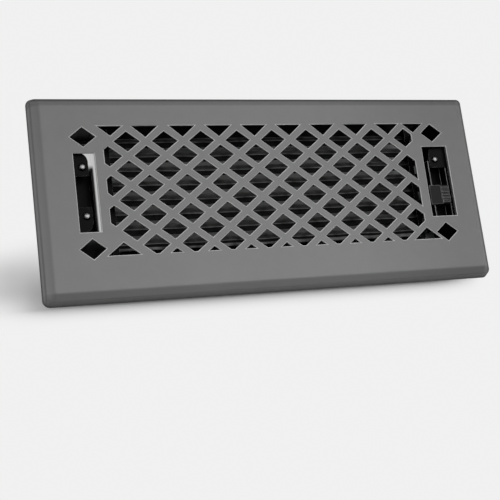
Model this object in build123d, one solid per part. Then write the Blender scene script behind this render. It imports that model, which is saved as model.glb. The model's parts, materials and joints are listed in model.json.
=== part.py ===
from build123d import *
import os
from math import atan2, cos, degrees, radians, sin, tan

os.makedirs("parts", exist_ok=True)

# A pressed-steel floor register for a 4 x 12 inch duct opening, millimetres.
# +X runs along the register, +Y across it, +Z out of the floor.
# The origin is under the middle of the face plate, at the lower edge of the damper box.

# Duct opening that the damper box drops into
duct_length = 304.8
duct_width = 101.6
length_clearance = 3.4
width_clearance = 1.5

# Damper box, hung below the face on the lattice axis
box_length = duct_length - 2 * length_clearance
box_width = duct_width - 2 * width_clearance
box_depth = 28.0
box_sheet = 0.8
wall_flange = 8.0
end_wall_gap = 2.6
end_wall_lap = 12.0

# Face plate
face_overhang_x = 23.45
face_overhang_y = 23.8
face_length = box_length + 2 * face_overhang_x
face_width = box_width + 2 * face_overhang_y
face_sheet = 1.0
rim_height = 10.0
bevel_width = 5.2
bevel_drop = 2.8
flange_splay = 2.3
rim_corner = 5.0
crease_corner = 1.6
crease_radius = 3.0
fold_radius = 1.0

# Pierced lattice, on its own axis across the face
columns = 9
rows = 8
lattice_end_margin = 25.7
lattice_side_margin = 6.82
lattice_pitch = (box_length - 2 * lattice_end_margin) / columns
row_pitch = (box_width - 2 * lattice_side_margin) / rows
lattice_centre_y = 2.7
lattice_shift_x = 3.33
lattice_shift_y = -1.2
bar_across_x = 8.5
bar_across_y = 6.6
hole_width = lattice_pitch - bar_across_x
hole_height = 2 * row_pitch - bar_across_y
window_left = columns * lattice_pitch / 2 - 0.2
window_right = columns * lattice_pitch / 2 - 4.25
window_top = rows * row_pitch / 2 + 4.8
window_bottom = rows * row_pitch / 2 + 2.2

# Holes along the window's edges and at its corners
top_hole_half_width = hole_width / 2
top_hole_depth = hole_height / 2 + 0.9
upper_corner_half_width = 8.65
upper_corner_depth = 7.0
upper_corner_inset = 3.8
lower_corner_half_width = 11.2
lower_corner_depth = 8.8
lower_corner_inset = 5.5
corner_shift_x = 1.9
end_diamond_inset_x = 12.0
end_diamond_inset_y = 9.65
end_diamond_width = 18.0
end_diamond_height = 14.2

# Slots over the end brackets
slot_margin = 43.0
slot_length = box_width - slot_margin
slot_x = box_length / 2 - 11.6
left_slot_width = 14.6
right_slot_width = 21.4
right_slot_shift = 0.6

# Louvres, one to each row of the lattice
louvre_count = rows
louvre_pitch = row_pitch
louvre_lap = 1.0
louvre_chord = louvre_pitch + louvre_lap
louvre_sheet = 0.6
louvre_crown = 1.3
louvre_hem = 1.8
louvre_depth = 15.7
louvre_shift = 3.3
louvre_angle = 40.0
closed_angle = 12.0
open_angle = 90.0
louvre_end_gap = 0.8
pivot_radius = 1.2
pivot_clearance = 0.05
left_pivot_reach = 3.0

# Inner end plates, which carry the louvres
end_plate_inset = 28.0
end_plate_drop = 8.0
end_plate_height = 19.0
end_plate_lip = 3.3
end_plate_lip_inset = 1.0
end_plate_tab = 5.0

# Seat strip, which the lowest louvre closes on
seat_width = 9.8
seat_gap = 0.3
seat_leg = 9.0

# End brackets: a channel inside each end wall, riveted on through two ears
bracket_leg_inset = 17.1
bracket_leg_drop = 3.6
bracket_floor_drop = 13.7
bracket_shift_y = 1.5
bracket_upper_end = slot_length / 2 - 11.3
bracket_lower_end = slot_length / 2 + 2.7
ear_width = 13.9
ear_reach = slot_length / 2 + 0.4
ear_length = 17.0
ear_inner_corner = 7.0
ear_outer_corner = 4.5
rivet_inset_x = 10.5
rivet_inset_y = 10.8
rivet_radius = 1.6
rivet_head_radius = 2.7
rivet_head_height = 1.2
rivet_head_chamfer = 0.8
rivet_tail_share = 0.8

# Cranks on the right ends of the louvres
crank_radius = 8.0
crank_sheet = 1.6
crank_gap = 0.5
crank_hub_width = 5.0
crank_tip_width = 3.6
crank_corner = 0.9
tang_side = 1.6
tang_gap = 0.02
crank_pin_radius = 1.0

# Slide bar
slide_share = 0.94
slide_bar_inset = 21.8
slide_bar_sheet = 1.5
slide_slot_play = 0.3
slide_slot_end_play = 0.5
slide_bar_wall = 2.0
slide_bar_end = 1.0
slide_pin_inset = 0.2

# Thumb lever, a saddle over the bracket's inner leg
lever_y = -9.9
lever_length = 15.0
lever_arm = 1.6
lever_play = 0.3
lever_skirt = 1.6
lever_skirt_drop = 7.0
tab_inset = 10.8
tab_width = 7.0
tab_drop = 0.8
tab_round = 0.9
rib_count = 5
rib_height = 0.4
rib_width = 1.2
rib_inset = 0.4
lever_rivet_radius = 1.1
lever_rivet_head = 1.9
lever_rivet_head_height = 0.9
lever_rivet_spacing = 4.0
lever_rivet_depth = 2.3

# How far a cutting tool runs past the sheet that it goes through
cut_past = 1.0

# Heights and places that follow
face_top = box_depth + rim_height
face_under = face_top - face_sheet
pivot_z = face_top - louvre_depth
first_pivot_y = lattice_centre_y + louvre_shift + louvre_pitch * (louvre_count - 1) / 2
first_column_x = lattice_shift_x - lattice_pitch * (columns - 1) / 2
first_row_y = lattice_shift_y + row_pitch * (rows - 1) / 2
wall_inner = box_width / 2 - box_sheet
end_wall_top = face_under - end_wall_gap
end_wall_inner = box_length / 2 - box_sheet
bracket_leg_top = face_top - bracket_leg_drop
bracket_floor_z = face_top - bracket_floor_drop
end_plate_x = box_length / 2 - end_plate_inset
plate_outer_x = end_plate_x + box_sheet
bracket_leg_x = box_length / 2 - bracket_leg_inset
slide_bar_x = box_length / 2 - slide_bar_inset
tab_inner_x = box_length / 2 - tab_inset
rivet_x = box_length / 2 - rivet_inset_x
rivet_y = ear_reach - rivet_inset_y
bracket_y = lattice_centre_y + bracket_shift_y
crank_swing = radians((open_angle - closed_angle) / 2)
crank_angle = radians(louvre_angle - (open_angle + closed_angle) / 2)


def save(shape, node):
    export_step(shape, f"parts/{node}.step")


def block(x0, x1, y0, y1, z0, z1):
    """A box given by its lowest and highest corners."""
    return Pos((x0 + x1) / 2, (y0 + y1) / 2, (z0 + z1) / 2) * Box(x1 - x0, y1 - y0, z1 - z0)


def rod_x(x0, x1, y, z, radius):
    """A round rod along X between two ends."""
    return Pos((x0 + x1) / 2, y, z) * Rot(0, 90, 0) * Cylinder(radius, x1 - x0)


def rod_z(x, y, z0, z1, radius):
    """An upright round rod between two heights."""
    return Pos(x, y, (z0 + z1) / 2) * Cylinder(radius, z1 - z0)


def pivot_y(index):
    return first_pivot_y - louvre_pitch * index


def rim_profile(inset):
    """How far the rim's three corners stand outside the flat face, and their heights."""
    flange_drop = rim_height - bevel_drop
    bevel_angle = atan2(bevel_drop, bevel_width)
    flange_angle = atan2(flange_drop, flange_splay)
    crease_out = -inset * tan(bevel_angle / 2)
    fold_in = inset * tan((flange_angle - bevel_angle) / 2)
    fold_out = bevel_width - inset * sin(bevel_angle) - fold_in * cos(bevel_angle)
    fold_z = face_top - bevel_drop - inset * cos(bevel_angle) + fold_in * sin(bevel_angle)
    foot_out = bevel_width + flange_splay - inset / sin(flange_angle)
    return [(crease_out, face_top - inset), (fold_out, fold_z), (foot_out, box_depth)]


def rim_body(inset):
    """The body under the face skin, or under the skin's inner side when inset by the sheet.
    Its folds are sharp; on the inner side they differ from rolled ones by under 0.1 mm."""
    flat_length = face_length - 2 * (bevel_width + flange_splay)
    flat_width = face_width - 2 * (bevel_width + flange_splay)
    radii = [crease_corner, (crease_corner + rim_corner) / 2, rim_corner]
    outlines = []
    for (out, z), radius in zip(rim_profile(inset), radii):
        outline = RectangleRounded(flat_length + 2 * out, flat_width + 2 * out, radius)
        outlines.append((Pos(0, 0, z) * outline).face())
    return loft([outlines[1], outlines[0]], ruled=True) + loft([outlines[2], outlines[1]], ruled=True)


def edges_at(body, z):
    """The loop of edges that lies flat at one height."""
    found = []
    for edge in body.edges():
        box = edge.bounding_box()
        if abs(box.min.Z - z) < 0.01 and abs(box.max.Z - z) < 0.01:
            found.append(edge)
    return found


def rounded_rim_body():
    """The rim's body with its crease and its fold rolled over."""
    body = rim_body(0)
    crease_z = rim_profile(0)[0][1]
    fold_z = rim_profile(0)[1][1]
    body = fillet(edges_at(body, fold_z), fold_radius + face_sheet)
    return fillet(edges_at(body, crease_z), crease_radius + face_sheet)


def column_x(column, row):
    """Even rows stand half a pitch to the left of odd rows."""
    return first_column_x + lattice_pitch * (column - 0.5 * (1 - row % 2))


def row_y(row):
    return first_row_y - row_pitch * (row - 1)


def diamond(x, y, width=hole_width, height=hole_height):
    """A lattice hole with its long diagonal along X."""
    corners = [(x - width / 2, y), (x, y - height / 2), (x + width / 2, y), (x, y + height / 2)]
    return Polygon(*corners, align=None)


def open_ended_diamond(x, y):
    """A hole whose lower left side runs on until it meets the window's right edge."""
    slope = hole_height / hole_width
    reach = window_right - x
    corners = [
        (x - hole_width / 2, y),
        (window_right, y - slope * (hole_width / 2 + reach)),
        (window_right, y + slope * (hole_width / 2 - reach)),
        (x, y + hole_height / 2),
    ]
    return Polygon(*corners, align=None)


def edge_triangle(x, y, half_width, tip):
    """A hole with its straight side at y and its tip that far above it."""
    if tip > 0:
        corners = [(x - half_width, y), (x + half_width, y), (x, y + tip)]
    else:
        corners = [(x - half_width, y), (x, y + tip), (x + half_width, y)]
    return Polygon(*corners, align=None)


def field_holes():
    """The diamonds of the lattice, cut off where the window ends."""
    window_x = (window_right - window_left) / 2
    window_y = (window_top - window_bottom) / 2
    window = Pos(window_x, window_y) * Rectangle(window_left + window_right, window_top + window_bottom)
    holes = []
    for row in range(1, rows + 2):
        for column in range(columns):
            x = column_x(column, row)
            y = row_y(row)
            if row >= rows and column == 0:
                continue
            last_odd = row % 2 == 1 and column == columns - 1
            if last_odd and 1 < row < rows - 1:
                holes.append(open_ended_diamond(x, y))
            else:
                holes.append(diamond(x, y) & window)
    return holes


def border_holes():
    """The triangles along the window's edges and the four diamonds at the face's ends."""
    holes = []
    for column in range(1, columns):
        x = column_x(column, 0)
        holes.append(edge_triangle(x, window_top, top_hole_half_width, -top_hole_depth))
    half_window = columns * lattice_pitch / 2
    for side in (-1, 1):
        x = corner_shift_x + side * (half_window - upper_corner_inset)
        holes.append(edge_triangle(x, window_top, upper_corner_half_width, -upper_corner_depth))
        x = corner_shift_x + side * (half_window - lower_corner_inset)
        holes.append(edge_triangle(x, -window_bottom, lower_corner_half_width, lower_corner_depth))
        x = side * (box_length / 2 - end_diamond_inset_x)
        for end in (-1, 1):
            y = end * (box_width / 2 - end_diamond_inset_y)
            holes.append(diamond(x, y, end_diamond_width, end_diamond_height))
    return holes


def slot_holes():
    left = Pos(-slot_x, 0) * Rectangle(left_slot_width, slot_length)
    right = Pos(slot_x, right_slot_shift) * Rectangle(right_slot_width, slot_length)
    return [left, right]


def face_plate():
    skin = rounded_rim_body() - rim_body(face_sheet)
    outlines = Sketch() + field_holes() + border_holes() + slot_holes()
    place = Pos(0, lattice_centre_y, face_under - cut_past)
    cutter = extrude(place * outlines, face_sheet + 2 * cut_past)
    return skin - cutter


def long_wall(side):
    """A side of the damper box: an upright sheet with a flange welded under the face."""
    outer = box_width / 2
    half = box_length / 2
    sheet = block(-half, half, wall_inner, outer, 0, face_under)
    flange = block(-half, half, wall_inner, outer + wall_flange, face_under - box_sheet, face_under)
    hem = block(-half + end_wall_lap, half - end_wall_lap, wall_inner - 2 * box_sheet, outer, 0, box_sheet)
    wall = sheet + flange + hem
    wall = wall if side > 0 else mirror(wall, about=Plane.XZ)
    return Pos(0, lattice_centre_y, 0) * wall


def ear(top, side):
    """An ear bent in from an end wall, with its far end cut round and a rivet hole."""
    inner = end_wall_inner - ear_width
    body = block(inner, end_wall_inner, ear_reach - ear_length, ear_reach, top - box_sheet, top)
    corners = body.edges().filter_by(Axis.Z).group_by(Axis.Y)[-1].sort_by(Axis.X)
    body = fillet(corners[0], ear_inner_corner)
    corners = body.edges().filter_by(Axis.Z).group_by(Axis.Y)[-1].sort_by(Axis.X)
    body = fillet(corners[-1], ear_outer_corner)
    body -= rod_z(rivet_x, rivet_y, top - box_sheet - cut_past, top + cut_past, rivet_radius)
    return body if side > 0 else mirror(body, about=Plane.XZ)


def end_wall(ear_sides):
    """The right end wall: an upright sheet, a lap along each long wall, and its ears."""
    outer = box_length / 2
    wall = block(end_wall_inner, outer, -wall_inner, wall_inner, 0, end_wall_top)
    lap = block(outer - end_wall_lap, outer, wall_inner - box_sheet, wall_inner, box_sheet, bracket_floor_z)
    wall = Pos(0, lattice_centre_y, 0) * (wall + lap + mirror(lap, about=Plane.XZ))
    for side in ear_sides:
        wall += Pos(0, bracket_y, 0) * ear(end_wall_top, side)
    return wall


def bracket(ear_sides):
    """The right bracket: a channel whose inner leg stands free, with ears under the wall's ears."""
    outer = end_wall_inner
    inner = bracket_leg_x
    ear_top = end_wall_top - box_sheet
    floor_low = bracket_floor_z - box_sheet
    low_end = -bracket_lower_end
    high_end = bracket_upper_end
    back_end = ear_reach - ear_outer_corner
    body = block(inner, inner + box_sheet, low_end, high_end, floor_low, bracket_leg_top)
    body += block(inner, outer, low_end, high_end, floor_low, bracket_floor_z)
    body += block(outer - box_sheet, outer, low_end, back_end, floor_low, ear_top - box_sheet)
    for side in ear_sides:
        body += ear(ear_top, side)
    return Pos(0, bracket_y, 0) * body


def rivet_head(x, y, z):
    """A rivet head with its flat side at z: a disc with a wide chamfer round its top."""
    head = Pos(x, y, z + rivet_head_height / 2) * Cylinder(rivet_head_radius, rivet_head_height)
    rim = head.edges().filter_by(GeomType.CIRCLE).sort_by(Axis.Z)[-1]
    return chamfer(rim, rivet_head_chamfer)


def rivet(x, y, low, high):
    """A rivet set through sheets: domed head above, flat tail below."""
    tail_radius = rivet_tail_share * rivet_head_radius
    tail = rod_z(x, y, low - rivet_head_height / 2, low, tail_radius)
    return rod_z(x, y, low, high, rivet_radius) + rivet_head(x, y, high) + tail


def ear_rivets(ear_sides):
    places = [bracket_y + side * rivet_y for side in ear_sides]
    rivets = [rivet(rivet_x, y, end_wall_top - 2 * box_sheet, end_wall_top) for y in places]
    return Compound(children=rivets)


def end_plate():
    """The right inner end plate: eight pivot holes, a lip at the top and tabs on the long walls."""
    top = face_top - end_plate_drop
    low = top - end_plate_height
    plate = block(end_plate_x, plate_outer_x, -wall_inner, wall_inner, low, top)
    lip_end = wall_inner - end_plate_lip_inset
    lip = block(end_plate_x - end_plate_lip, plate_outer_x, -lip_end, lip_end, top - box_sheet, top)
    tab = block(end_plate_x, plate_outer_x + end_plate_tab, wall_inner - box_sheet, wall_inner, low, top)
    body = Pos(0, lattice_centre_y, 0) * (plate + lip + tab + mirror(tab, about=Plane.XZ))
    x0 = end_plate_x - cut_past
    x1 = plate_outer_x + cut_past
    for index in range(louvre_count):
        body -= rod_x(x0, x1, pivot_y(index), pivot_z, pivot_radius + pivot_clearance)
    return body


def seat_strip():
    """An angle strip on the lower long wall; the lowest louvre closes down on its flange."""
    lean = radians(closed_angle)
    hem_low = louvre_chord / 2 * sin(lean) - (louvre_crown / 2 + 2 * louvre_sheet) * cos(lean)
    top = pivot_z + hem_low - seat_gap
    length = end_plate_x - louvre_end_gap
    outer = -wall_inner
    flange = block(-length, length, outer, outer + seat_width, top - box_sheet, top)
    leg = block(-length, length, outer, outer + box_sheet, top - seat_leg, top)
    return Pos(0, lattice_centre_y, 0) * (flange + leg)


def louvre_section():
    """The blade's crowned strip, lying flat, with the hem folded under along its -Y edge."""
    half = louvre_chord / 2
    rise = 2 * atan2(louvre_crown, half)
    along = Vector(cos(rise), sin(rise))
    down = Vector(sin(rise), -cos(rise)) * louvre_sheet
    front = Vector(-half, 0)
    hem_end = front + along * louvre_hem
    upper = ThreePointArc(front, (0, louvre_crown), (half, 0))
    back = Line((half, 0), (half, -louvre_sheet))
    under = ThreePointArc((half, -louvre_sheet), (0, louvre_crown - louvre_sheet), hem_end + down)
    hem = Polyline(hem_end + down, hem_end + 2 * down, front + 2 * down)
    fold = ThreePointArc(front + 2 * down, front + down - along * louvre_sheet, front)
    return Pos(0, -louvre_crown / 2) * make_face([upper, back, under, hem, fold])


def louvre(index):
    """A pressed blade with a pivot barrel at each end; its front edge leans to -Y.
    The right barrel ends in a square tang that carries the crank."""
    half = end_plate_x - louvre_end_gap
    crank_start = plate_outer_x + crank_gap
    crank_end = crank_start + crank_sheet
    half_tang = tang_side / 2
    body = extrude(Plane.YZ.offset(-half) * louvre_section(), 2 * half)
    body += rod_x(-plate_outer_x - left_pivot_reach, -half, 0, 0, pivot_radius)
    body += rod_x(half, crank_start, 0, 0, pivot_radius)
    body += block(crank_start, crank_end, -half_tang, half_tang, -half_tang, half_tang)
    return Pos(0, pivot_y(index), pivot_z) * Rot(-louvre_angle, 0, 0) * body


def crank(index):
    """A crank arm pressed on the louvre's square tang, with a pin that works in the slide bar."""
    x0 = plate_outer_x + crank_gap
    x1 = x0 + crank_sheet
    pin_end = slide_bar_x + slide_bar_sheet - slide_pin_inset
    hub = crank_hub_width / 2
    tip = crank_tip_width / 2
    end = crank_radius + tip
    outline = Polygon((-hub, -hub), (hub, -hub), (tip, end), (-tip, end), align=None)
    outline = chamfer(outline.vertices(), crank_corner)
    arm = extrude(Plane.YZ.offset(x0) * outline, crank_sheet)
    arm += rod_x(x1, pin_end, 0, crank_radius, crank_pin_radius)
    hole = tang_side / 2 + tang_gap
    lean = Rot(-louvre_angle + degrees(crank_angle), 0, 0)
    arm -= lean * block(x0 - cut_past, x1 + cut_past, -hole, hole, -hole, hole)
    return Pos(0, pivot_y(index), pivot_z) * Rot(-degrees(crank_angle), 0, 0) * arm


def pin_y(index):
    """Where a crank pin stands in the slide bar's straight travel."""
    return pivot_y(index) + slide_share * crank_radius * crank_angle


def lever_rivet_places():
    """Heights and place across of the two rivets, half-way between two crank slots."""
    middle = lattice_centre_y + lever_y
    gap = round((pin_y(0) - middle) / louvre_pitch - 0.5)
    y = pin_y(gap) - louvre_pitch / 2
    z = pivot_z + crank_radius - lever_rivet_spacing / 2
    return [(y, z - lever_rivet_spacing / 2), (y, z + lever_rivet_spacing / 2)]


def lever_rivet_rods(radius, x0, x1):
    rods = [rod_x(x0, x1, y, z, radius) for y, z in lever_rivet_places()]
    return rods[0] + rods[1]


def lever_rivets():
    """Two blind rivets: heads on the bar's inner side, shanks in the lever's cheek."""
    rivets = []
    for y, z in lever_rivet_places():
        head = rod_x(slide_bar_x - lever_rivet_head_height, slide_bar_x, y, z, lever_rivet_head)
        shank_end = slide_bar_x + slide_bar_sheet + lever_rivet_depth
        rivets.append(head + rod_x(slide_bar_x, shank_end, y, z, lever_rivet_radius))
    return Compound(children=rivets)


def slide_bar():
    """The bar that joins the cranks: one upright slot for each crank pin."""
    slot_low = pivot_z + crank_radius * cos(crank_swing) - crank_pin_radius - slide_slot_end_play
    slot_high = pivot_z + crank_radius + crank_pin_radius + slide_slot_end_play
    half_slot = crank_pin_radius + slide_slot_play
    end = half_slot + slide_bar_end
    outer = slide_bar_x + slide_bar_sheet
    bar = block(slide_bar_x, outer, pin_y(louvre_count - 1) - end, pin_y(0) + end,
                slot_low - slide_bar_wall, slot_high + slide_bar_wall)
    bar = chamfer(bar.edges().filter_by(Axis.X), slide_bar_end)
    x0 = slide_bar_x - cut_past
    x1 = outer + cut_past
    for index in range(louvre_count):
        y = pin_y(index)
        bar -= block(x0, x1, y - half_slot, y + half_slot, slot_low, slot_high)
    return bar - lever_rivet_rods(lever_rivet_radius, x0, x1)


def thumb_lever():
    """A saddle on the bracket's inner leg, with a ribbed thumb tab in the slot."""
    y0 = lattice_centre_y + lever_y - lever_length / 2
    y1 = y0 + lever_length
    arm_low = bracket_leg_top + lever_play
    arm_high = arm_low + lever_arm
    bar_side = slide_bar_x + slide_bar_sheet
    leg_inner = bracket_leg_x - lever_play
    leg_outer = bracket_leg_x + box_sheet + lever_play
    cheek_low = lever_rivet_places()[0][1] - lever_rivet_head
    cheek = block(bar_side, leg_inner, y0, y1, cheek_low, arm_high)
    arm = block(bar_side, tab_inner_x + tab_width / 2, y0, y1, arm_low, arm_high)
    skirt = block(leg_outer, leg_outer + lever_skirt, y0, y1, arm_low - lever_skirt_drop, arm_high)
    tab_low = bracket_floor_z + lever_play
    tab_high = face_top - tab_drop
    tab = block(tab_inner_x, tab_inner_x + tab_width, y0, y1, tab_low, tab_high)
    tab = fillet(tab.edges().filter_by(Axis.X).group_by(Axis.Z)[-1], tab_round)
    body = cheek + arm + skirt + tab
    rib_pitch = (lever_length - 2 * tab_round) / rib_count
    for index in range(rib_count):
        y = y0 + tab_round + rib_pitch * (index + 0.5)
        body += block(tab_inner_x + rib_inset, tab_inner_x + tab_width - rib_inset, y - rib_width / 2,
                      y + rib_width / 2, tab_high - rib_height, tab_high + rib_height)
    return body - lever_rivet_rods(lever_rivet_radius, bar_side - cut_past, bar_side + lever_rivet_depth)


save(face_plate(), "face_plate")
save(long_wall(1), "long_wall_back")
save(long_wall(-1), "long_wall_front")
save(seat_strip(), "seat_strip")
save(end_plate(), "end_plate_right")
save(mirror(end_plate(), about=Plane.YZ), "end_plate_left")
save(end_wall([1]), "end_wall_right")
save(bracket([1]), "bracket_right")
save(ear_rivets([1]), "ear_rivet_right")
save(mirror(end_wall([1, -1]), about=Plane.YZ), "end_wall_left")
save(mirror(bracket([1, -1]), about=Plane.YZ), "bracket_left")
save(mirror(ear_rivets([1, -1]), about=Plane.YZ), "ear_rivets_left")
for index in range(louvre_count):
    save(louvre(index), f"louvre_{index + 1}")
    save(crank(index), f"crank_{index + 1}")
save(slide_bar(), "slide_bar")
save(thumb_lever(), "thumb_lever")
save(lever_rivets(), "lever_rivets")
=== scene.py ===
import json
from math import cos, pi, radians, sin

import bmesh
import bpy
from mathutils import Matrix, Vector

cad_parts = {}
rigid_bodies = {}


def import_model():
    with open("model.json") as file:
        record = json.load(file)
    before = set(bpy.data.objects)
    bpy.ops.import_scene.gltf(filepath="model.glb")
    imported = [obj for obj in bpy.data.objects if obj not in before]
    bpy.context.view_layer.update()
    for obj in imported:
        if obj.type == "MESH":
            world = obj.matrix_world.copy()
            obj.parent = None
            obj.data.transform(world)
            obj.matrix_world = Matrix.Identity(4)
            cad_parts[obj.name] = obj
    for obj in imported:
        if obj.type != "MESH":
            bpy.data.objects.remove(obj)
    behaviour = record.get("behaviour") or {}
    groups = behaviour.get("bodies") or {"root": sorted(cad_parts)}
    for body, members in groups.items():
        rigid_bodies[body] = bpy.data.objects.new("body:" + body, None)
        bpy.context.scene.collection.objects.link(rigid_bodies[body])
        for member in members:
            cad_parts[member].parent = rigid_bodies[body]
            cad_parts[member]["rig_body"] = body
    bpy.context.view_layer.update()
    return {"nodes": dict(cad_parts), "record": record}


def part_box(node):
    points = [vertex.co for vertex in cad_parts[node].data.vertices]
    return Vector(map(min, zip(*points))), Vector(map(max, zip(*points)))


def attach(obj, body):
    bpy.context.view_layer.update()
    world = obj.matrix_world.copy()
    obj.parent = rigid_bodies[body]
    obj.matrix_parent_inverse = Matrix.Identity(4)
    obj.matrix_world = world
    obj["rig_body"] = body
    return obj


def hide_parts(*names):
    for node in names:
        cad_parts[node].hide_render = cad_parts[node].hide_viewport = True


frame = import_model()

# Camera, in the part's frame
CAMERA_PLACE = Vector((-0.2762, -0.1825, 0.6913))
CAMERA_RIGHT = Vector((0.9349, -0.1260, 0.3317))
CAMERA_UP = Vector((0.0507, 0.9726, 0.2267))
CAMERA_LENS = 72.55
CAMERA_SENSOR = 36.0
CAMERA_NEAR = 0.01

# Light: azimuth and elevation in degrees, share of the light that falls on the floor, spread in degrees
LAMPS = {
    "key": (60, 60, 0.60, 70),
    "side": (0, 62, 0.20, 50),
    "left": (165, 30, 0.12, 50),
}
SKY_SHARE = 0.08

# Page
PAGE_GREY = 0.875
PAGE_SIZE = 12.0

# Share of the real shadow that the camera sees on the page: outside the face, in a slot and in the lattice
KEPT_OUTSIDE = 0.82
KEPT_IN_SLOT = 0.4
KEPT_IN_LATTICE = 0.97

# Where that shadow starts and ends outside the face
OUTSIDE_RISE_Y = (-0.085, -0.0695)
OUTSIDE_RISE_POWER = 3.0
OUTSIDE_FALL_Y = (-0.062, -0.014)
OUTSIDE_END_X = (0.172, 0.190)

# Areas of the page, along X and along Y: where the area sets in, is full, starts to fade and is gone
UNDER_FACE = ((-0.167, -0.160, 0.176, 0.183), (-0.074, -0.068, 0.058, 0.068))
UNDER_SLOT = ((-0.150, -0.140, -0.124, -0.116), (-0.026, -0.018, 0.042, 0.048))
UNDER_LATTICE = ((-0.116, -0.108, 0.090, 0.110), (-0.060, -0.050, 0.036, 0.044))
# Painted shadow on the page: the shadow's long tail to the left, and areas painted dark where the page lies
# in shade
SHADOW_TAIL = ((-0.300, -0.210, -0.190, -0.160), (-0.071, -0.054, -0.046, -0.022))
PAINTED_SHADE_AREAS = [
    ((0.148, 0.152, 0.176, 0.183), (-0.060, -0.050, 0.058, 0.068)),  # under the right end of the rim
    ((-0.160, -0.155, -0.112, -0.108), (-0.064, -0.058, -0.021, -0.016)),  # under the lower left diamond
    ((-0.150, -0.140, -0.1240, -0.1230), (-0.020, -0.016, 0.0300, 0.0345)),  # under the left slot
]
# Depth of that painted shadow: its tail, and its dark areas
TAIL_DEPTH = 0.28
PAINTED_SHADE_DEPTH = 0.93

# Rounding of the edges: width on one node, on the nodes of one slot, and on the others
NODE_ROUNDING = {
    "face_plate": 0.00028,
    "thumb_lever": 0.00022,
    "ear_rivets_left": 0.0006,
    "ear_rivet_right": 0.0006,
    "lever_rivets": 0.0006,
}
SLOT_ROUNDING = {"box_paint": 0.00025}
PLAIN_ROUNDING = 0.00012
HOLE_RIM = 0.0005
BEVEL_SEGMENTS = 2
SHARP_ANGLE = radians(32)

# Cleaning of the meshes: doubled points, flat faces, and the plane that the holes' edges lie in
MERGE_DISTANCE = 1e-6
FLAT_ANGLE = radians(0.5)
FLAT_WEIGHT = 100
FACE_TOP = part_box("face_plate")[1].z
TOP_MARGIN = 0.00002

# Edge materials of the slots, the face's being a painted highlight on its hole rims, and the slots whose
# rounded edges take their paler edge material
EDGE_MATERIALS = {"face_paint": "face_rim_highlight", "box_paint": "box_edge", "lever_plastic": "lever_edge"}
PALE_EDGE_SLOTS = ("box_paint", "lever_plastic")

# Material of a bevel: the piece's second one, or that of the faces beside the edge
EDGE_INDEX = 1
BESIDE_INDEX = -1

# Noise: features to a metre, and the range that most of its values lie in
GLOSS_NOISE = 220.0
DRIFT_NOISE = 14.0
BLADE_NOISE = 130.0
HEM_NOISE = 22.0
SWIRL_NOISE = 900.0
NOISE_RANGE = (0.3, 0.7)

# Grain of the powder coats, in metres, and the share by which their roughness varies
FINE_GRAIN = 0.0005
COARSE_GRAIN = 0.0008
GRAIN_DEPTH = 0.00002
GLOSS_VARIATION = 0.08

# Plain coats: grey level, share by which it varies, roughness, specular level
PAINTS = {
    "box_paint": (0.004, 0.12, 0.35, 0.022),
    "lever_plastic": (0.008, 0.08, 0.4, 0.07),
    # The face's hole rims: a painted highlight
    "face_rim_highlight": (0.42, 0.03, 0.5, 0.35),
    "box_edge": (0.30, 0.3, 0.4, 0.5),
    "lever_edge": (0.30, 0.1, 0.4, 0.5),
}

# Coat of the face: roughness, grain size and specular level, then its grey level
FACE_COAT = (0.55, FINE_GRAIN, 0.35)
FACE_GREY = 0.147
FACE_VARIATION = 0.03

# Painted light and shade on that coat: axis, start and end of a change along it, tone before and after the
# change
FACE_LIGHT_AND_SHADE = [
    ("Y", -0.0600, 0.0600, 1.18, 1.0),  # from front to back
    ("X", -0.1550, -0.0600, 0.90, 1.0),  # left part
    ("X", 0.0600, 0.1450, 1.0, 0.81),  # right part
    ("Y", 0.0645, 0.0660, 1.0, 0.72),  # back bevel
    ("Y", 0.0682, 0.0700, 1.0, 0.22),  # back fold
    ("Y", -0.0660, -0.0650, 0.83, 1.0),  # front bevel
    ("Y", -0.0731, -0.0706, 0.2, 1.0),  # front flange
    ("X", 0.1640, 0.1655, 1.0, 1.22),  # right bevel
    ("X", 0.1668, 0.1697, 1.0, 0.25),  # right fold
    ("X", -0.1700, -0.1655, 1.06, 0.88),  # left bevel
    ("X", -0.1655, -0.1640, 1.0, 1.136),  # left crease
    ("Z", 0.0290, 0.0306, 0.25, 1.0),  # foot of the rim
]

# Painted shade: a dark line along the left fold, between places along X
LEFT_FOLD = (-0.1711, -0.1707, -0.1703, -0.1700)
LEFT_FOLD_SHADE = 0.65

# Punched walls, painted dark as shade: how far up the normals of a wall and of a slope point, the walls'
# heights and their painted shade
UPRIGHT = (0.2, 0.5)
WALL_HEIGHTS = (0.0355, 0.0362)
WALL_SHADE = 0.03

# Coat of the louvres: as for the face, then the greys of its mottle
BLADE_COAT = (0.45, COARSE_GRAIN, 0.04)
BLADE_GREYS = (0.07, 0.29)

# Painted light and shade on that coat by height, from the blade's foot up: shade on the front, a highlight on
# the hem's line and a shadow above it
BLADE_HEIGHTS = (0.0185, 0.0220)
BLADE_FRONT_SHADE = 0.20
HEM_START = (0.0235, 0.0237)
HEM_GLEAM = 3.6
HEM_END = (0.0240, 0.0241)
HEM_SHADOW_TONE = 0.05
HEM_WANDER = 0.0004

# Painted light on the lip of the lowest louvre: its heights and its end along Y
LIP_HEIGHTS = (0.0250, 0.0253)
LIP_END_Y = (-0.0345, -0.0335)
LIP_GLEAM = 22.0

# Rivets: ranges of grey and roughness, and the dome's radius in metres
RIVET_GREYS = (0.168, 0.28)
RIVET_ROUGHNESS = (0.24, 0.375)
RIVET_DOME = 0.0028
DOME_SAMPLES = 8

# Painted highlight where the dome's normals point: on its crown, and in a band along X across its middle;
# painted shade elsewhere
CROWN_Z = (0.86, 0.985)
BAND_Y = (-0.26, -0.10, 0.10, 0.26)
RIVET_SHADE = 0.05


def grey(value):
    return (value, value, value, 1.0)


def around(level, share):
    """The limits that lie a share of a level below it and above it."""
    return level * (1 - share), level * (1 + share)


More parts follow.
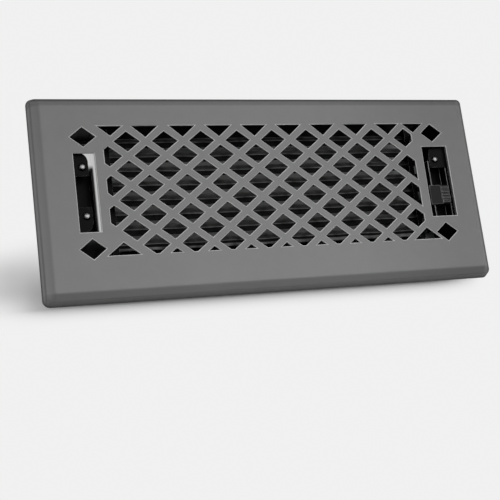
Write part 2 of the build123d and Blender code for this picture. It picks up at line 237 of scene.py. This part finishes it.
class Finish:
    """A procedural material made step by step."""

    def __init__(self, name):
        self.material = bpy.data.materials.new(name)
        self.material.use_nodes = True
        self.tree = self.material.node_tree
        self.shader = self.tree.nodes["Principled BSDF"]
        place = self.tree.nodes.new("ShaderNodeTexCoord")
        self.place = place.outputs["Object"]

    def noise(self, scale, detail=3.0, roughness=0.55):
        node = self.tree.nodes.new("ShaderNodeTexNoise")
        node.inputs["Scale"].default_value = scale
        node.inputs["Detail"].default_value = detail
        node.inputs["Roughness"].default_value = roughness
        self.tree.links.new(self.place, node.inputs["Vector"])
        return node.outputs["Fac"]

    def step(self, source, start, end, low=0.0, high=1.0, smooth=True):
        """Low up to the start, and high from the end on."""
        node = self.tree.nodes.new("ShaderNodeMapRange")
        node.interpolation_type = "SMOOTHSTEP" if smooth else "LINEAR"
        node.inputs["From Min"].default_value = start
        node.inputs["From Max"].default_value = end
        node.inputs["To Min"].default_value = low
        node.inputs["To Max"].default_value = high
        self.tree.links.new(source, node.inputs["Value"])
        return node.outputs["Result"]

    def spread(self, noise, low, high):
        """A noise spread over the range from low to high."""
        return self.step(noise, *NOISE_RANGE, low, high, smooth=False)

    def between(self, source, limits):
        """1 between the two middle limits, fading to 0 at the outer ones."""
        rise = self.step(source, limits[0], limits[1])
        fall = self.step(source, limits[2], limits[3], 1.0, 0.0)
        return self.join("MULTIPLY", rise, fall)

    def toned(self, mask, tone, smooth=True):
        """1 where a mask is 0, and the tone where it is 1."""
        return self.step(mask, 0.0, 1.0, 1.0, tone, smooth)

    def component(self, vector, axis):
        split = self.tree.nodes.new("ShaderNodeSeparateXYZ")
        self.tree.links.new(vector, split.inputs[0])
        return split.outputs[axis]

    def along(self, axis):
        """The place along an axis of the part's frame, in metres."""
        return self.component(self.place, axis)

    def steepness(self):
        """0 on a level face and 1 on an upright one."""
        geometry = self.tree.nodes.new("ShaderNodeNewGeometry")
        level = self.tree.nodes.new("ShaderNodeMath")
        level.operation = "ABSOLUTE"
        self.tree.links.new(self.component(geometry.outputs["True Normal"], "Z"), level.inputs[0])
        return self.step(level.outputs[0], *UPRIGHT, 1.0, 0.0)

    def join(self, operation, *sources):
        result = sources[0]
        for source in sources[1:]:
            node = self.tree.nodes.new("ShaderNodeMath")
            node.operation = operation
            self.tree.links.new(result, node.inputs[0])
            if isinstance(source, float):
                node.inputs[1].default_value = source
            else:
                self.tree.links.new(source, node.inputs[1])
            result = node.outputs[0]
        return result

    def colour(self, level):
        """Base colour: a grey whose level is a value of the tree."""
        self.tree.links.new(level, self.shader.inputs["Base Color"])

    def roughness(self, noise, low, high):
        self.tree.links.new(self.spread(noise, low, high), self.shader.inputs["Roughness"])

    def bump(self, source, depth):
        node = self.tree.nodes.new("ShaderNodeBump")
        node.inputs["Strength"].default_value = 1.0
        node.inputs["Distance"].default_value = depth
        self.tree.links.new(source, node.inputs["Height"])
        self.tree.links.new(node.outputs["Normal"], self.shader.inputs["Normal"])

    def set(self, **values):
        for socket, value in values.items():
            self.shader.inputs[socket.replace("_", " ")].default_value = value


def start_paint(name, roughness, grain_size, specular):
    """A satin powder coat with a fine grain, still without its colour."""
    finish = Finish(name)
    finish.roughness(finish.noise(GLOSS_NOISE), *around(roughness, GLOSS_VARIATION))
    finish.bump(finish.noise(1 / grain_size, detail=2.0), GRAIN_DEPTH)
    finish.set(Specular_IOR_Level=specular)
    return finish


def plain_paint(name, level, variation, roughness, specular):
    """A coat whose colour drifts slowly."""
    finish = start_paint(name, roughness, COARSE_GRAIN, specular)
    finish.colour(finish.spread(finish.noise(DRIFT_NOISE), *around(level, variation)))
    return finish.material


def face_paint():
    """The face's coat, with painted light and shade across the face and its rim, and painted shade on punched
    walls and along the left fold.
    """
    finish = start_paint("face_paint", *FACE_COAT)
    drift = finish.spread(finish.noise(DRIFT_NOISE), *around(FACE_GREY, FACE_VARIATION))
    punched = finish.join("MULTIPLY", finish.steepness(), finish.step(finish.along("Z"), *WALL_HEIGHTS))
    wall = finish.toned(punched, WALL_SHADE, smooth=False)
    fold = finish.toned(finish.between(finish.along("X"), LEFT_FOLD), LEFT_FOLD_SHADE)
    light_and_shade = [finish.step(finish.along(axis), *change, smooth=False) for axis, *change in FACE_LIGHT_AND_SHADE]
    finish.colour(finish.join("MULTIPLY", drift, wall, fold, *light_and_shade))
    return finish.material


def blade_paint():
    """The louvres' mottled coat, with painted shade darker upwards to the hem, a painted highlight on the
    hem's line, and painted shadow above it.
    """
    finish = start_paint("blade_paint", *BLADE_COAT)
    mottle = finish.spread(finish.noise(BLADE_NOISE), *BLADE_GREYS)
    wander = finish.spread(finish.noise(HEM_NOISE, detail=1.0), -HEM_WANDER, HEM_WANDER)
    height = finish.join("ADD", finish.along("Z"), wander)
    front = finish.step(height, *BLADE_HEIGHTS, 1.0, BLADE_FRONT_SHADE)
    hem = finish.step(height, *HEM_START, 1.0, HEM_GLEAM)
    hem_shadow = finish.step(height, *HEM_END, 1.0, HEM_SHADOW_TONE)
    lowest = finish.step(finish.along("Y"), *LIP_END_Y, 1.0, 0.0)
    lip = finish.toned(finish.join("MULTIPLY", finish.step(height, *LIP_HEIGHTS), lowest), LIP_GLEAM)
    finish.colour(finish.join("MULTIPLY", mottle, front, hem, hem_shadow, lip))
    return finish.material


def rivet_steel():
    """Rivet steel with faint swirl marks and a dome's normals, its colour a painted highlight on the crown
    and across the middle and painted shade around them.
    """
    finish = Finish("rivet_steel")
    swirl = finish.noise(SWIRL_NOISE)
    finish.roughness(swirl, *RIVET_ROUGHNESS)
    dome = finish.tree.nodes.new("ShaderNodeBevel")
    dome.samples = DOME_SAMPLES
    dome.inputs["Radius"].default_value = RIVET_DOME
    normal = dome.outputs[0]
    finish.tree.links.new(normal, finish.shader.inputs["Normal"])
    crown = finish.step(finish.component(normal, "Z"), *CROWN_Z, RIVET_SHADE, 1.0)
    band = finish.step(finish.between(finish.component(normal, "Y"), BAND_Y), 0.0, 1.0, RIVET_SHADE, 1.0)
    finish.colour(finish.join("MULTIPLY", finish.spread(swirl, *RIVET_GREYS), crown, band))
    finish.set(Metallic=1.0)
    return finish.material


def make_materials():
    materials = {name: plain_paint(name, *values) for name, values in PAINTS.items()}
    materials["face_paint"] = face_paint()
    materials["blade_paint"] = blade_paint()
    materials["rivet_steel"] = rivet_steel()
    return materials


def mark_hole_edges(build):
    """The sharp edges that lie in the face's top plane are those of its holes."""
    weight = build.edges.layers.float.new("bevel_weight_edge")
    for edge in build.edges:
        on_top = all(vert.co.z > FACE_TOP - TOP_MARGIN for vert in edge.verts)
        if on_top and len(edge.link_faces) == 2 and edge.calc_face_angle() > SHARP_ANGLE:
            edge[weight] = 1.0


def clean_mesh(mesh):
    """Joins a mesh's doubled points, merges its flat faces and smooths all but its sharp edges."""
    build = bmesh.new()
    build.from_mesh(mesh)
    bmesh.ops.remove_doubles(build, verts=build.verts, dist=MERGE_DISTANCE)
    bmesh.ops.dissolve_limit(build, angle_limit=FLAT_ANGLE, verts=build.verts, edges=build.edges)
    mark_hole_edges(build)
    build.to_mesh(mesh)
    build.free()
    if "custom_normal" in mesh.attributes:
        mesh.attributes.remove(mesh.attributes["custom_normal"])
    for polygon in mesh.polygons:
        polygon.use_smooth = True
    mesh.set_sharp_from_angle(angle=SHARP_ANGLE)


def add_bevel(piece, name, width, material):
    bevel = piece.modifiers.new(name, "BEVEL")
    bevel.width = width
    bevel.segments = BEVEL_SEGMENTS
    bevel.harden_normals = True
    bevel.material = material
    return bevel


def rounded_copy(node, rounding, pale_edges):
    """A copy of a CAD node whose sharp edges are rounded, as pressed and painted sheet has them."""
    mesh = node.data.copy()
    clean_mesh(mesh)
    piece = bpy.data.objects.new(node.name + "_piece", mesh)
    bpy.context.scene.collection.objects.link(piece)
    rim = add_bevel(piece, "hole_rim", HOLE_RIM, EDGE_INDEX)
    rim.limit_method = "WEIGHT"
    rim.use_clamp_overlap = False
    edges = add_bevel(piece, "rounding", rounding, EDGE_INDEX if pale_edges else BESIDE_INDEX)
    edges.limit_method = "ANGLE"
    edges.angle_limit = SHARP_ANGLE
    flat = piece.modifiers.new("flat_faces", "WEIGHTED_NORMAL")
    flat.keep_sharp = True
    flat.weight = FLAT_WEIGHT
    return piece


def dress(frame, materials):
    """Each CAD node gets a rounded piece in the material of its slot and that of the slot's edges."""
    slots = {part["node"]: part["material_slot"] for part in frame["record"]["subparts"]}
    for name, node in frame["nodes"].items():
        slot = slots[name]
        rounding = NODE_ROUNDING.get(name, SLOT_ROUNDING.get(slot, PLAIN_ROUNDING))
        piece = rounded_copy(node, rounding, slot in PALE_EDGE_SLOTS)
        piece.data.materials.clear()
        piece.data.materials.append(materials[slot])
        piece.data.materials.append(materials[EDGE_MATERIALS.get(slot, slot)])
        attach(piece, node["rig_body"])
        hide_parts(name)


class Page(Finish):
    """The white page: the camera sees part of the real shadow and, for the rest, the page's own white."""

    def __init__(self):
        super().__init__("page")
        self.x = self.along("X")
        self.y = self.along("Y")

    def inside(self, area):
        """1 inside an area and 0 outside it, with soft edges."""
        limits_x, limits_y = area
        return self.join("MULTIPLY", self.between(self.x, limits_x), self.between(self.y, limits_y))

    def glow(self, level):
        """A shader that shows its grey in any light."""
        node = self.tree.nodes.new("ShaderNodeEmission")
        node.inputs["Color"].default_value = grey(level)
        return node

    def blend(self, share, first, second):
        mix = self.tree.nodes.new("ShaderNodeMixShader")
        self.tree.links.new(share, mix.inputs[0])
        self.tree.links.new(first.outputs[0], mix.inputs[1])
        self.tree.links.new(second.outputs[0], mix.inputs[2])
        return mix

    def kept_shadow(self):
        """The share of the real shadow that the camera sees."""
        rise = self.join("POWER", self.step(self.y, *OUTSIDE_RISE_Y, smooth=False), OUTSIDE_RISE_POWER)
        fall = self.step(self.y, *OUTSIDE_FALL_Y, 1.0, 0.0)
        end = self.step(self.x, *OUTSIDE_END_X, 1.0, 0.0)
        outside = self.join("MULTIPLY", rise, fall, end, KEPT_OUTSIDE)
        slot = self.toned(self.inside(UNDER_SLOT), KEPT_IN_SLOT, smooth=False)
        lattice = self.toned(self.inside(UNDER_LATTICE), KEPT_IN_LATTICE, smooth=False)
        return self.join("MAXIMUM", outside, self.join("MULTIPLY", self.inside(UNDER_FACE), slot, lattice))

    def painted_shade(self):
        """Painted shadow: the shadow's long tail to the left, and painted dark under the rim beside the box.
        """
        tail = self.join("MULTIPLY", self.inside(SHADOW_TAIL), TAIL_DEPTH)
        areas = [self.inside(area) for area in PAINTED_SHADE_AREAS]
        dark = self.join("MULTIPLY", self.join("MAXIMUM", *areas), PAINTED_SHADE_DEPTH)
        return self.join("MAXIMUM", tail, dark)


def page_material():
    page = Page()
    tree = page.tree
    page.set(Base_Color=grey(PAGE_GREY), Roughness=1.0, Specular_IOR_Level=0.0)
    rays = tree.nodes.new("ShaderNodeLightPath")
    seen = page.join("MAXIMUM", rays.outputs["Is Camera Ray"], rays.outputs["Is Glossy Ray"])
    own = page.toned(page.kept_shadow(), 0.0, smooth=False)
    surface = page.blend(page.join("MULTIPLY", seen, own), page.shader, page.glow(PAGE_GREY))
    # Painted shadow: the camera sees the page go towards black where the painted shade lies
    surface = page.blend(page.join("MULTIPLY", seen, page.painted_shade()), surface, page.glow(0.0))
    tree.links.new(surface.outputs[0], tree.nodes["Material Output"].inputs["Surface"])
    return page.material


def make_floor():
    bpy.ops.mesh.primitive_plane_add(size=PAGE_SIZE, location=(0, 0, 0))
    floor = bpy.context.object
    floor.name = "page"
    floor.data.materials.append(page_material())


def make_camera():
    data = bpy.data.cameras.new("camera")
    data.lens = CAMERA_LENS
    data.sensor_width = CAMERA_SENSOR
    data.clip_start = CAMERA_NEAR
    camera = bpy.data.objects.new("camera", data)
    bpy.context.scene.collection.objects.link(camera)
    back = CAMERA_RIGHT.cross(CAMERA_UP).normalized()
    turn = Matrix((CAMERA_RIGHT, CAMERA_UP, back)).transposed().to_4x4()
    camera.matrix_world = Matrix.Translation(CAMERA_PLACE) @ turn
    bpy.context.scene.camera = camera


def make_lamp(name, azimuth, elevation, share, spread):
    """A sun lamp that lights the floor with its share of the level at which white comes out white."""
    bearing = radians(azimuth)
    height = radians(elevation)
    data = bpy.data.lights.new(name, "SUN")
    data.energy = share * pi / sin(height)
    data.angle = radians(spread)
    lamp = bpy.data.objects.new(name, data)
    towards = Vector((cos(bearing) * cos(height), sin(bearing) * cos(height), sin(height)))
    lamp.rotation_mode = "QUATERNION"
    lamp.rotation_quaternion = towards.to_track_quat("Z", "Y")
    bpy.context.scene.collection.objects.link(lamp)


def make_light():
    world = bpy.data.worlds.new("sky")
    world.use_nodes = True
    background = world.node_tree.nodes["Background"]
    background.inputs["Color"].default_value = grey(1.0)
    background.inputs["Strength"].default_value = SKY_SHARE
    bpy.context.scene.world = world
    for name, lamp in LAMPS.items():
        make_lamp(name, *lamp)


dress(frame, make_materials())
make_floor()
make_camera()
make_light()
bpy.context.scene.view_settings.view_transform = "Standard"
